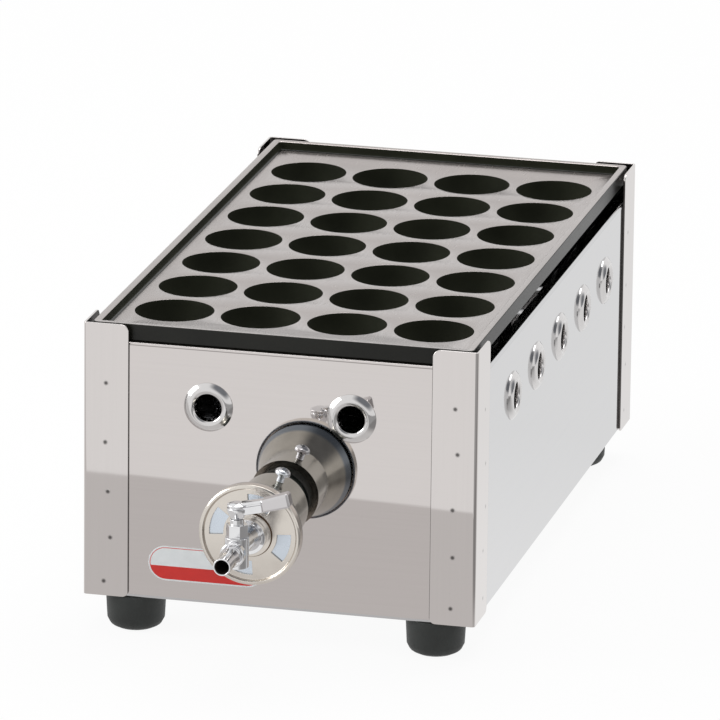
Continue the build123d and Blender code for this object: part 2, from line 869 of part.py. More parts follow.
with BuildPart() as lever:
    extrude(
        section(
            lever_plane,
            (0, -lever_arm_drop),
            (arm_end, -lever_arm_drop),
            (arm_end, lever_arm_rise),
            (0, lever_arm_rise),
        ),
        amount=lever_arm_width / 2,
        both=True,
    )
    for side in (-1, 1):
        extrude(
            section(
                lever_plane.offset(side * (lever_arm_width / 2 - lever_groove_depth)),
                (0, -lever_groove_width / 2),
                (arm_end, -lever_groove_width / 2),
                (arm_end, lever_groove_width / 2),
                (0, lever_groove_width / 2),
            ),
            amount=side * lever_groove_depth,
            mode=Mode.SUBTRACT,
        )
    revolve(
        section(
            valve_section,
            (0, hub_bottom),
            (lever_hub_foot_diameter / 2, hub_bottom),
            (hub_radius, hub_cone_top),
            (hub_radius, groove_bottom),
            (hub_radius - lever_groove_depth, groove_bottom),
            (hub_radius - lever_groove_depth, groove_top),
            (hub_radius, groove_top),
            (hub_radius, groove_top + lever_dome_wall),
            (lever_dome_flat_diameter / 2, hub_top),
            (0, hub_top),
        ),
        axis=valve_axis,
    )
    add(grip.part)
    with BuildSketch(Plane.XY.offset(hub_bottom)):
        with Locations((0, valve_y)):
            Circle(stem_diameter / 2)
    extrude(amount=stem_top - hub_bottom, mode=Mode.SUBTRACT)
finish(lever, "lever")

with BuildPart() as shank_nut:
    with BuildSketch(burner_face(disc_seat)):
        RegularPolygon(shank_nut_size / 2, 6, major_radius=False)
        Circle(thread_radius, mode=Mode.SUBTRACT)
    extrude(amount=-shank_nut_height)
finish(shank_nut, "shank_nut")

with BuildPart() as gas_jet:
    revolve(
        section(
            burner_section,
            (jet_seat, gas_way / 2),
            (jet_seat, jet_stud_diameter / 2),
            (shank_end, jet_stud_diameter / 2),
            (shank_end, jet_diameter / 2),
            (shank_end - jet_length, jet_diameter / 2),
            (shank_end - jet_length, jet_tip_diameter / 2),
            (shank_end - jet_length - jet_tip_length, jet_tip_diameter / 2),
            (shank_end - jet_length - jet_tip_length, jet_hole / 2),
            (shank_end - jet_length + jet_floor, jet_hole / 2),
            (shank_end - jet_length + jet_floor, gas_way / 2),
        ),
        axis=burner_axis,
    )
finish(gas_jet, "gas_jet")

with BuildPart() as hose_end:
    revolve(
        section(
            burner_section,
            (hose_end_start, hose_bore / 2),
            (hose_end_start, hose_collar_diameter / 2),
            (hose_groove_start - hose_collar_chamfer, hose_collar_diameter / 2),
            (hose_groove_start, hose_collar_diameter / 2 - hose_collar_chamfer),
            (hose_groove_start, hose_tube_diameter / 2),
            (hose_barb_start, hose_tube_diameter / 2),
            (hose_barb_start, hose_barb_diameter / 2),
            (hose_tube_start, hose_tube_diameter / 2),
            (hose_end_tip, hose_tube_diameter / 2),
            (hose_end_tip, hose_mouth_bore / 2),
            (hose_end_tip - hose_mouth_depth, hose_bore / 2),
        ),
        axis=burner_axis,
    )
finish(hose_end, "hose_end")
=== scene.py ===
import math

import bmesh
import bpy
from mathutils import Matrix, Vector


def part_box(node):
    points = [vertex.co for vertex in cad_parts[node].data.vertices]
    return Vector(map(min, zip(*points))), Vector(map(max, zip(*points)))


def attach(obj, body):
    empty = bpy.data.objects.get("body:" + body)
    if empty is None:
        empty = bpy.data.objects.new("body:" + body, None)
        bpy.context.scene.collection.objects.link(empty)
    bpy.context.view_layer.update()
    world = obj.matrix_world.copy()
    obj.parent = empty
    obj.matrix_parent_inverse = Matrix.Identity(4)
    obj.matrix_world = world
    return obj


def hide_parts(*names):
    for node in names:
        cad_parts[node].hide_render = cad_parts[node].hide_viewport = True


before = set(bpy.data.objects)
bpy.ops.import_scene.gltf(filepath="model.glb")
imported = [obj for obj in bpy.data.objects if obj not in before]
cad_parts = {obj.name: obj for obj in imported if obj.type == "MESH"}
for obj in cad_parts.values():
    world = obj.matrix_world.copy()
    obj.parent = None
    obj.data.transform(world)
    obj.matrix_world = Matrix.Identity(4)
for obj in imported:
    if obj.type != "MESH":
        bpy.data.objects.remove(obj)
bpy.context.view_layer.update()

# Metres. +X is to the cook's right, +Y to the back, +Z up. The CAD nodes are the frame, and every
# piece below takes its place from their boxes.
MM = 0.001

# Camera: its place, its axes and a long lens, in millimetres, on a square picture
CAMERA_PLACE = (0.90493, -3.69716, 1.23418)
CAMERA_RIGHT = (0.97102, 0.23872, 0.01118)
CAMERA_UP = (-0.07827, 0.27346, 0.95869)
CAMERA_AHEAD = (-0.22581, 0.93179, -0.28422)
CAMERA_LENS = 412.7
CAMERA_REACH = 100
SENSOR = 36.0
PICTURE_WIDTH = 720
HALF_PIXEL = 0.5 / PICTURE_WIDTH

# Studio: what the object stands on and what its polished sheet shows. Reflections see a grey mat on
# the floor from MAT_EDGE back to MAT_BACK, a shade ahead of SHADE_BACK on the right, a floor a little
# duller behind BACK_START, and dark zones in the room.
FLOOR_SIZE = 12.0
FLOOR_COLOUR = (0.86, 0.86, 0.86)
FLOOR_WHITE_SHARE = 0.93
MAT_EDGE, MAT_BACK = -0.3541, -0.115
MAT_SLOPE = 0.0738
MAT_BLUR, MAT_BACK_BLUR = 0.002, 0.02
MAT_GREY = (0.72, 0.705, 0.70)
SHADE_SLANT = 0.24
SHADE_START, SHADE_END = 0.15, 0.23
SHADE_BACK, SHADE_FRONT = 0.1, -0.1
SHADE_LEVEL = 0.42
BACK_START, BACK_END = 0.0, 0.25
BACK_LEVEL = 0.93
WORLD_LIGHT = 0.7
# (direction, degrees out to where the dark begins, degrees out to where it is full)
DARK_ZONES = (((0.45, -0.5, 0.74), 38, 20), ((0.9, 0.38, 0.12), 24, 12))
DARK_COLOUR = (0.22, 0.23, 0.25)
# (place, side, watts)
KEY_LAMP = ((-2.2, -0.7, 1.1), 1.3, 30)
TOP_LAMP = ((0.2, 0.9, 2.6), 1.8, 32)
LAMP_AIM = (0, 0, 0.08)

# Griddle
CUPS_ACROSS, CUPS_DEEP = 4, 7
CUP_PITCH_X, CUP_PITCH_Y = 42.0 * MM, 43.2 * MM
CUP_RADIUS = 18.8 * MM
CUP_DEPTH = 17.0 * MM
CUP_WALL = 3.2 * MM
CUP_MOUTH_WALL = 0.75 * CUP_WALL
CUP_LIP = 0.35 * MM
CUP_STEPS, CUP_BANDS = 64, 10
SLAB = 3.9 * MM
RIM_HEIGHT = 4.2 * MM
RIM_WIDTH = 3.3 * MM
RIM_DRAFT = math.radians(12)
RIM_ROUND = 0.6 * MM
RIM_FILLET = 1.6 * MM
FILLET_STEPS = 4
PLATE_CORNER = 2.5 * MM
CORNER_STEPS = 6
# The plate's material slots
GROUND, CAST, BAKED = 0, 1, 2

# Eyelets: radii off each ring's own axis, and heights off the panel that it lines
EYELET_BORE = 6.5 * MM
EYELET_NECK = 7.25 * MM
EYELET_FLANGE = 11.8 * MM
EYELET_CREST = 8.7 * MM
EYELET_HEIGHT = 2.4 * MM
EYELET_EDGE = 0.35 * MM
EYELET_BULGE = 0.3 * MM
EYELET_FUNNEL = 1.3 * MM
EYELET_TAIL = 1.8 * MM
EYELET_STEPS = 72
EYELET_FUNNEL_STEPS, EYELET_BAND_STEPS = 8, 6
SIGHT_HOLES, VENTS = 2, 5

# Spot welds on the posts' flanges: (mm in from the corner, mm up) down each column, then each mark's
# rings from its rim to its core and how much of the steel's brightness each keeps
WELDS_LEFT = ((11.0, 122.8), (10.7, 93.8), (12.0, 69.6), (13.2, 47.0), (10.1, 25.2))
WELDS_RIGHT = ((10.8, 123.8), (9.4, 101.8), (11.4, 74.6), (11.1, 51.4), (11.7, 26.3))
WELDS_SIDE = ((15.7, 120.1), (18.0, 93.2), (19.5, 71.7), (15.5, 51.0), (16.7, 27.3))
WELD_RINGS = (1.35 * MM, 1.1 * MM, 0.85 * MM, 0.6 * MM)
# The darkening to the core is real weld tint, deepened by painted dimple shade
WELD_SHADES = (0.88, 0.66, 0.4, 0.2)
WELD_SLOTS_FACE, WELD_SLOTS_SIDE = (0, 1, 2, 3), (0, 0, 1, 2)
WELD_RISE = 0.03 * MM
WELD_STEPS = 20

# Bare label on the front panel
LABEL_LEFT, LABEL_RIGHT = -63.4 * MM, -7.0 * MM
LABEL_BOTTOM, LABEL_TOP = 27.8 * MM, 44.9 * MM
LABEL_THICKNESS = 0.12 * MM
LABEL_MARGIN = 0.75 * MM
LABEL_LINE = 0.35 * MM
LABEL_SPLIT = 35.0 * MM
LABEL_END_STEPS = 16

# Set screw on the bell: distances off the burner's axis, along the screw
SCREW_LEAN = math.radians(18)
SCREW_RADIUS, SCREW_THREAD = 2.0 * MM, 0.3 * MM
SCREW_PITCH = 0.8 * MM
SCREW_ROOT, SCREW_NECK = 13.6 * MM, 20.1 * MM
SCREW_HEAD_RADIUS, SCREW_HEAD_HEIGHT, SCREW_HEAD_EDGE = 3.7 * MM, 2.8 * MM, 0.7 * MM
SCREW_HEAD_STEPS = 8
SCREW_CROSS_LENGTH, SCREW_CROSS_WIDTH, SCREW_CROSS_DEPTH = 3.6 * MM, 1.0 * MM, 1.5 * MM
SCREW_CROSS_ABOVE = 1.0 * MM
SCREW_STEPS = 48

# Where one piece changes its finish or takes painted shade or a painted reflection, from and to: off the
# burner's axis for the bell, hub and bore, and along X, Y or Z for the rest
BELL_LIP = (21.3 * MM, 24.0 * MM)
HUB_EDGE = (10.25 * MM, 10.75 * MM)
DISH_EDGE = (-172.3 * MM, -170.0 * MM)
HOSE_BORE = (-1.0 * MM, 3.38 * MM)
GRIP = (12.0 * MM, 30.0 * MM)
# Bands of painted shade by the posts' free flange edges, across X and along Y
EDGE_SHADE_ACROSS, EDGE_SHADE_ALONG = (70.0 * MM, 73.25 * MM), (-97.75 * MM, 202.75 * MM)
FOLD_LINE = (141.95 * MM, 142.4 * MM)
CHANGE_BLUR = 0.05 * MM
LIP_BLUR = 6 * CHANGE_BLUR

# Colours and glosses that more than one finish uses, and the grain's stretch along each axis
POST_COLOUR = (0.65, 0.617, 0.603)
CHROME_COLOUR, CHROME_ROUGHNESS = (0.76, 0.76, 0.77), 0.06
# A painted dark reflection of the room, laid on the bell's lip and on the dish's rear edge
PAINTED_REFLECTION_COLOUR, PAINTED_REFLECTION_ROUGHNESS = (0.20, 0.23, 0.26), 0.25
GRAIN_X, GRAIN_Y, GRAIN_Z = (0.02, 1, 1), (1, 0.02, 1), (1, 1, 0.02)

# Softened edges of the CAD nodes, and how their meshes are cleaned first
SHEET_EDGE = 0.2 * MM
TURNED_EDGE = 0.18 * MM
DISH_ROUNDING = 0.15 * MM
FOOT_ROUNDING = 0.8 * MM
EDGE_SEGMENTS = 2
MERGE_WITHIN = 0.001 * MM
FLAT_WITHIN = math.radians(0.5)
NORMAL_WEIGHT = 80
SMOOTH_BELOW = math.radians(32)


# ---------------------------------------------------------------- camera
def add_camera():
    """The camera at the photograph's viewing angle."""
    data = bpy.data.cameras.new("photo_camera")
    data.lens = CAMERA_LENS
    data.sensor_width = SENSOR
    data.clip_end = CAMERA_REACH
    data.shift_x, data.shift_y = -HALF_PIXEL, HALF_PIXEL
    camera = bpy.data.objects.new("photo_camera", data)
    back = -Vector(CAMERA_AHEAD)
    turn = Matrix((CAMERA_RIGHT, CAMERA_UP, back)).transposed().to_4x4()
    camera.matrix_world = Matrix.Translation(CAMERA_PLACE) @ turn
    bpy.context.scene.collection.objects.link(camera)
    bpy.context.scene.camera = camera


# ---------------------------------------------------------------- node helpers
def new_material(name, colour, metallic, roughness, specular=0.5):
    """A material with its Principled shader set."""
    material = bpy.data.materials.new(name)
    material.use_nodes = True
    shader = material.node_tree.nodes["Principled BSDF"]
    shader.inputs["Base Color"].default_value = (*colour, 1)
    shader.inputs["Metallic"].default_value = metallic
    shader.inputs["Roughness"].default_value = roughness
    shader.inputs["Specular IOR Level"].default_value = specular
    return material, shader


def node(owner, kind, **values):
    """A node of a kind in a material or world, with its inputs or settings given by name."""
    made = owner.node_tree.nodes.new(kind)
    for key, value in values.items():
        if key in made.inputs:
            made.inputs[key].default_value = value
        else:
            setattr(made, key, value)
    return made


def wire(owner, source, target):
    """A link between two sockets."""
    owner.node_tree.links.new(source, target)


def noise(owner, scale, stretch=(1, 1, 1), detail=4.0):
    """Noise in the piece's own space, stretched along its axes."""
    place = node(owner, "ShaderNodeTexCoord")
    mapping = node(owner, "ShaderNodeMapping", Scale=stretch)
    made = node(owner, "ShaderNodeTexNoise", Scale=scale, Detail=detail)
    wire(owner, place.outputs["Object"], mapping.inputs["Vector"])
    wire(owner, mapping.outputs["Vector"], made.inputs["Vector"])
    return made.outputs["Fac"]


def spread(owner, factor, low, high, start=0.3, end=0.7):
    """A factor carried over from start..end to low..high."""
    made = node(owner, "ShaderNodeMapRange")
    for key, value in (("From Min", start), ("From Max", end), ("To Min", low), ("To Max", high)):
        made.inputs[key].default_value = value
    wire(owner, factor, made.inputs["Value"])
    return made.outputs["Result"]


def combine(owner, operation, first, second):
    """Two sockets, or a socket and a number, put together."""
    made = node(owner, "ShaderNodeMath", operation=operation)
    wire(owner, first, made.inputs[0])
    if isinstance(second, float):
        made.inputs[1].default_value = second
    else:
        wire(owner, second, made.inputs[1])
    return made.outputs[0]


def tint(owner, factor, dark, light):
    """A colour between two, by a factor."""
    made = node(owner, "ShaderNodeMix", data_type="RGBA")
    colours = [socket for socket in made.inputs if socket.type == "RGBA"]
    colours[0].default_value = (*dark, 1)
    colours[1].default_value = (*light, 1)
    wire(owner, factor, made.inputs["Factor"])
    return next(socket for socket in made.outputs if socket.type == "RGBA")


def mix_shaders(owner, factor, first, second):
    """Two shaders put together by a factor."""
    made = node(owner, "ShaderNodeMixShader")
    wire(owner, factor, made.inputs[0])
    wire(owner, first, made.inputs[1])
    wire(owner, second, made.inputs[2])
    return made.outputs[0]


def bump(owner, shader, height, strength, distance):
    """Roughens a shader's surface by a height."""
    made = node(owner, "ShaderNodeBump", Strength=strength, Distance=distance)
    wire(owner, height, made.inputs["Height"])
    wire(owner, made.outputs["Normal"], shader.inputs["Normal"])


def scaled(colour, by):
    """A colour made brighter or darker."""
    return tuple(channel * by for channel in colour)


def vary_colour(material, shader, factor, colour, dark, light):
    """Lets a colour wander between two shares of its brightness, by a factor."""
    shade = tint(material, spread(material, factor, 0, 1), scaled(colour, dark), scaled(colour, light))
    wire(material, shade, shader.inputs["Base Color"])


def vary_gloss(material, shader, factor, low, high):
    """Lets the roughness wander between two figures, by a factor."""
    wire(material, spread(material, factor, low, high), shader.inputs["Roughness"])


# ---------------------------------------------------------------- materials
def sheet_steel(name, colour, roughness, grain):
    """Polished stainless sheet: a clear reflection, blurred a little along fine hairlines."""
    material, shader = new_material(name, colour, metallic=1.0, roughness=roughness)
    lines = noise(material, 900, stretch=grain, detail=2.0)
    smudges = noise(material, 14, detail=3.0)
    vary_colour(material, shader, lines, colour, dark=0.99, light=1.005)
    vary_gloss(material, shader, smudges, roughness * 0.75, roughness * 1.3)
    bump(material, shader, lines, strength=0.012, distance=0.05 * MM)
    return material


def ground_iron():
    """The plate's ground faces: warm grey, half glossy, speckled where the casting shows."""
    colour = (0.385, 0.352, 0.338)
    material, shader = new_material("ground_iron", colour, metallic=0.8, roughness=0.3)
    marks = noise(material, 800, stretch=(1, 0.1, 1), detail=3.0)
    specks = noise(material, 1500, detail=3.0)
    cloud = noise(material, 30, detail=5.0)
    vary_colour(material, shader, cloud, colour, dark=0.92, light=1.05)
    vary_gloss(material, shader, marks, 0.2, 0.28)
    bump(material, shader, specks, strength=0.012, distance=0.1 * MM)
    return material


def iron(name, colour, roughness, specular, grain=1500, strength=0.35):
    """Sand-cast iron under a dull black coat: fine grains and slow patches."""
    material, shader = new_material(name, colour, metallic=0.0, roughness=roughness, specular=specular)
    grains = noise(material, grain, detail=3.0)
    cloud = noise(material, 45)
    vary_colour(material, shader, cloud, colour, dark=0.75, light=1.3)
    vary_gloss(material, shader, grains, roughness * 0.85, roughness * 1.15)
    bump(material, shader, grains, strength, distance=0.15 * MM)
    return material


def plated(name, colour, roughness, contrast=0.05, patch=120):
    """Plated or zinc-coated metal, with slow patches in its colour and gloss."""
    material, shader = new_material(name, colour, metallic=1.0, roughness=roughness)
    cloud = noise(material, patch)
    vary_colour(material, shader, cloud, colour, dark=1 - contrast, light=1 + contrast / 2)
    vary_gloss(material, shader, cloud, roughness * 0.7, roughness * 1.4)
    return material


def off_axis(owner, centre):
    """Distance from the line along Y through a point."""
    place = node(owner, "ShaderNodeTexCoord")
    moved = node(owner, "ShaderNodeVectorMath", operation="SUBTRACT")
    wire(owner, place.outputs["Object"], moved.inputs[0])
    moved.inputs[1].default_value = centre
    flat = node(owner, "ShaderNodeVectorMath", operation="MULTIPLY")
    wire(owner, moved.outputs["Vector"], flat.inputs[0])
    flat.inputs[1].default_value = (1, 0, 1)
    length = node(owner, "ShaderNodeVectorMath", operation="LENGTH")
    wire(owner, flat.outputs["Vector"], length.inputs[0])
    return length.outputs["Value"]


def along_axis(owner, axis):
    """The piece's own coordinate on one axis."""
    place = node(owner, "ShaderNodeTexCoord")
    split = node(owner, "ShaderNodeSeparateXYZ")
    wire(owner, place.outputs["Object"], split.inputs["Vector"])
    return split.outputs[axis]


def between(owner, value, low, high, blur=CHANGE_BLUR):
    """1 where a value lies between two figures, 0 elsewhere."""
    above = spread(owner, value, 0.0, 1.0, low - blur, low + blur)
    below = spread(owner, value, 1.0, 0.0, high - blur, high + blur)
    return combine(owner, "MULTIPLY", above, below)


def recolour(material, mask, colour, metallic=1.0, roughness=None):
    """Lays another finish, or painted shade, over a material wherever the mask is 1."""
    shader = material.node_tree.nodes["Principled BSDF"]
    for name, value in (("Metallic", metallic), ("Roughness", roughness)):
        if value is not None:
            before = shader.inputs[name]
            made = node(material, "ShaderNodeMapRange")
            wire(material, mask, made.inputs["Value"])
            if before.links:
                wire(material, before.links[0].from_socket, made.inputs["To Min"])
            else:
                made.inputs["To Min"].default_value = before.default_value
            made.inputs["To Max"].default_value = value
            wire(material, made.outputs["Result"], before)
    made = node(material, "ShaderNodeMix", data_type="RGBA")
    colours = [socket for socket in made.inputs if socket.type == "RGBA"]
    wire(material, shader.inputs["Base Color"].links[0].from_socket, colours[0])
    colours[1].default_value = (*colour, 1)
    wire(material, mask, made.inputs["Factor"])
    mixed = next(socket for socket in made.outputs if socket.type == "RGBA")
    wire(material, mixed, shader.inputs["Base Color"])


def rubber():
    """Matt dark rubber with a moulded grain."""
    colour = (0.017, 0.020, 0.0185)
    material, shader = new_material("foot_rubber", colour, metallic=0.0, roughness=0.55)
    grains = noise(material, 2600, detail=2.0)
    cloud = noise(material, 90, detail=3.0)
    vary_colour(material, shader, cloud, colour, dark=0.8, light=1.4)
    vary_gloss(material, shader, grains, 0.45, 0.65)
    bump(material, shader, grains, strength=0.2, distance=0.1 * MM)
    return material


def printed(name, colour):
    """Printed film: a plain ink with slight unevenness and a soft gloss."""
    material, shader = new_material(name, colour, metallic=0.0, roughness=0.35)
    cloud = noise(material, 200, detail=3.0)
    vary_colour(material, shader, cloud, colour, dark=0.96, light=1.03)
    vary_gloss(material, shader, cloud, 0.3, 0.42)
    return material


# ---------------------------------------------------------------- finishes and painted shade that change over a piece
def make_front_steel():
    """The front panel's sheet, with painted shade, darker and duller, along the bend of its fold."""
    steel = sheet_steel("front_steel", (0.63, 0.593, 0.578), roughness=0.022, grain=GRAIN_X)
    # Painted shade: the bend's shadow, laid on the fold as a darker, duller band
    bend = between(steel, along_axis(steel, "Z"), *FOLD_LINE)
    recolour(steel, bend, (0.33, 0.305, 0.295), roughness=0.1)
    return steel


def make_post_steel():
    """The posts' sheet, with painted shade, dark and dull, along the free edges of their flanges."""
    steel = sheet_steel("post_steel", POST_COLOUR, roughness=0.025, grain=GRAIN_Z)
    aside = combine(steel, "ABSOLUTE", along_axis(steel, "X"), 0.0)
    # Painted shade: the gap's shadow and the dark reflection beside each flange's free edge
    for value, edges in ((aside, EDGE_SHADE_ACROSS), (along_axis(steel, "Y"), EDGE_SHADE_ALONG)):
        recolour(steel, between(steel, value, *edges), (0.13, 0.12, 0.115), roughness=0.4)
    return steel


def make_bell_iron(axis):
    """The bell's bare iron, patchy, with a painted dark blue reflection round its lip."""
    iron_grey = plated("bell_iron", (0.44, 0.425, 0.38), roughness=0.18, contrast=0.12)
    # Painted reflection: the dark room seen in the lip, as a dark blue band
    lip = between(iron_grey, off_axis(iron_grey, axis), *BELL_LIP, LIP_BLUR)
    recolour(iron_grey, lip, PAINTED_REFLECTION_COLOUR, roughness=PAINTED_REFLECTION_ROUGHNESS)
    return iron_grey


def make_damper_nickel(axis):
    """The dish's nickel, with a painted shadow as a brown ring round its hub and a painted dark reflection on
    its rear edge.
    """
    nickel = plated("damper_nickel", (0.68, 0.635, 0.58), roughness=0.16)
    # Painted shadow in the gap round the hub, as a brown ring
    hub = between(nickel, off_axis(nickel, axis), *HUB_EDGE)
    recolour(nickel, hub, (0.17, 0.12, 0.085), roughness=0.3)
    # Painted dark reflection on the dish's rear edge
    rear = between(nickel, along_axis(nickel, "Y"), *DISH_EDGE)
    recolour(nickel, rear, PAINTED_REFLECTION_COLOUR, roughness=PAINTED_REFLECTION_ROUGHNESS)
    return nickel


def make_hose_chrome(axis):
    """The hose end's chrome, near black inside its bore: dull unplated metal under painted shade."""
    chrome = plated("hose_chrome", CHROME_COLOUR, CHROME_ROUGHNESS)
    # Painted shade inside the bore, over dull unplated metal
    bore = between(chrome, off_axis(chrome, axis), *HOSE_BORE)
    recolour(chrome, bore, (0.012, 0.006, 0.003), metallic=0.0, roughness=0.6)
    return chrome


def make_lever_chrome():
    """The lever's chrome, duller along its grip."""
    chrome = plated("lever_chrome", CHROME_COLOUR, CHROME_ROUGHNESS)
    grip = between(chrome, along_axis(chrome, "X"), *GRIP)
    recolour(chrome, grip, (0.60, 0.58, 0.585), roughness=0.16)
    return chrome


def dress(name, material, edge):
    """Gives a CAD node its finish, and rounds its edges by a width unless that is 0."""
    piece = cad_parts[name]
    piece.data.materials.clear()
    piece.data.materials.append(material)
    if edge:
        weld = piece.modifiers.new("weld", "WELD")
        weld.merge_threshold = MERGE_WITHIN
        flat = piece.modifiers.new("flat", "DECIMATE")
        flat.decimate_type = "DISSOLVE"
        flat.angle_limit = FLAT_WITHIN
        edges = piece.modifiers.new("edges", "BEVEL")
        edges.width = edge
        edges.segments = EDGE_SEGMENTS
        edges.limit_method = "ANGLE"
        edges.angle_limit = SMOOTH_BELOW
        edges.use_clamp_overlap = False
        smooth = piece.modifiers.new("smooth", "WEIGHTED_NORMAL")
        smooth.weight = NORMAL_WEIGHT


# ---------------------------------------------------------------- mesh helpers
def join_rings(bm, lower, upper, slot):
    """Faces between two rings of corners, or between a ring and a single point."""
    if len(lower) > 1 and len(upper) > 1:
        for k in range(len(lower)):
            n = (k + 1) % len(lower)
            face = bm.faces.new((lower[k], lower[n], upper[n], upper[k]))
            face.material_index, face.smooth = slot, True
        return
    ring_verts, tip = (lower, upper[0]) if len(upper) == 1 else (upper, lower[0])
    for k, vert in enumerate(ring_verts):
        face = bm.faces.new((vert, ring_verts[(k + 1) % len(ring_verts)], tip))
        face.material_index, face.smooth = slot, True


def ring(bm, centre, radius, z, steps):
    """Corners of a level circle, or its one point where the radius is nothing."""
    if radius == 0:
        return [bm.verts.new((*centre, z))]
    turns = [2 * math.pi * k / steps for k in range(steps)]
    return [
        bm.verts.new((centre[0] + radius * math.cos(turn), centre[1] + radius * math.sin(turn), z))
        for turn in turns
    ]


def lathe(bm, profile, place, steps, closed=True):
    """A profile of (radius, height, slot) turned about the local Z axis. Each slot is for the band that
    runs on from its point."""
    rings = [ring(bm, (0, 0), radius, height, steps) for radius, height, _ in profile]
    pairs = list(zip(profile, rings, rings[1:]))
    if closed:
        pairs.append((profile[-1], rings[-1], rings[0]))
    for (_, _, slot), lower, upper in pairs:
        join_rings(bm, lower, upper, slot)
    bmesh.ops.transform(bm, matrix=place, verts=[vert for one in rings for vert in one])


def rounded_rectangle(half_x, half_y, corner, centre_y, z):
    """Corners of a rounded rectangle, counter-clockwise."""
    points = []
    for k, (side_x, side_y) in enumerate(((1, 1), (-1, 1), (-1, -1), (1, -1))):
        for step in range(CORNER_STEPS + 1):
            turn = math.pi / 2 * (k + step / CORNER_STEPS)
            x = side_x * (half_x - corner) + corner * math.cos(turn)
            y = centre_y + side_y * (half_y - corner) + corner * math.sin(turn)
            points.append((x, y, z))
    return points


def loop_edges(verts):
    """The edges round a ring of corners."""
    edges = []
    for k, vert in enumerate(verts):
        other = verts[(k + 1) % len(verts)]
        edges.append(next(edge for edge in vert.link_edges if edge.other_vert(vert) is other))
    return edges


def plate_with_holes(bm, outline, holes, slot, up):
    """A flat face inside an outline, round the holes."""
    edges = loop_edges(outline)
    for hole in holes:
        edges += loop_edges(hole)
    made = bmesh.ops.triangle_fill(bm, use_beauty=True, edges=edges)
    for face in made["geom"]:
        if isinstance(face, bmesh.types.BMFace):
            face.material_index = slot
            face.normal_update()
            if (face.normal.z > 0) != up:
                face.normal_flip()


def object_from(bm, name, materials):
    """Ends a mesh: outward normals, creases kept, its materials in slot order."""
    bmesh.ops.recalc_face_normals(bm, faces=bm.faces)
    mesh = bpy.data.meshes.new(name)
    bm.to_mesh(mesh)
    bm.free()
    mesh.set_sharp_from_angle(angle=SMOOTH_BELOW)
    for material in materials:
        mesh.materials.append(material)
    piece = bpy.data.objects.new(name, mesh)
    bpy.context.scene.collection.objects.link(piece)
    return piece


def stands_for(piece, node_name, body):
    """Puts a finer piece in the place of a CAD node."""
    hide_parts(node_name)
    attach(piece, body)


# ---------------------------------------------------------------- griddle
def ball(radius, depth):
    """Radius of the ball whose cap has that mouth radius and depth."""
    return (radius**2 + depth**2) / (2 * depth)


def cup_levels(radius, depth, top):
    """(radius, height) down a cup from its mouth to just above its bottom."""
    size = ball(radius, depth)
    mouth = math.asin(min(1, radius / size))
    levels = []
    for band in range(CUP_BANDS):
        angle = mouth * (1 - band / CUP_BANDS)
        levels.append((size * math.sin(angle), top + size * (1 - math.cos(angle)) - depth))
    return levels


def cup_inside(bm, place, floor):
    """The hollow of a cup. Returns its mouth."""
    levels = [(CUP_RADIUS + CUP_LIP, floor), (CUP_RADIUS + CUP_LIP / 4, floor - CUP_LIP / 4)]
    levels.append((CUP_RADIUS, floor - CUP_LIP))
    levels += cup_levels(CUP_RADIUS, CUP_DEPTH, floor)[1:]
    levels.append((0, floor - CUP_DEPTH))
    rings = [ring(bm, place, radius, z, CUP_STEPS) for radius, z in levels]
    for k, (above, below) in enumerate(zip(rings, rings[1:])):
        join_rings(bm, above, below, GROUND if k == 0 else BAKED)
    return rings[0]


def cup_outside(bm, place, floor, under):
    """The boss of a cup under the plate. Returns its root."""
    radius, depth = CUP_RADIUS + CUP_MOUTH_WALL, CUP_DEPTH + CUP_WALL
    size = ball(radius, depth)
    root = math.sqrt(size**2 - (size - depth + floor - under) ** 2)
    levels = [(root, under)]
    levels += [(r, z) for r, z in cup_levels(radius, depth, floor) if z < under - RIM_ROUND]
    levels.append((0, floor - depth))
    rings = [ring(bm, place, r, z, CUP_STEPS) for r, z in levels]
    for above, below in zip(rings, rings[1:]):
        join_rings(bm, above, below, CAST)
    return rings[0]


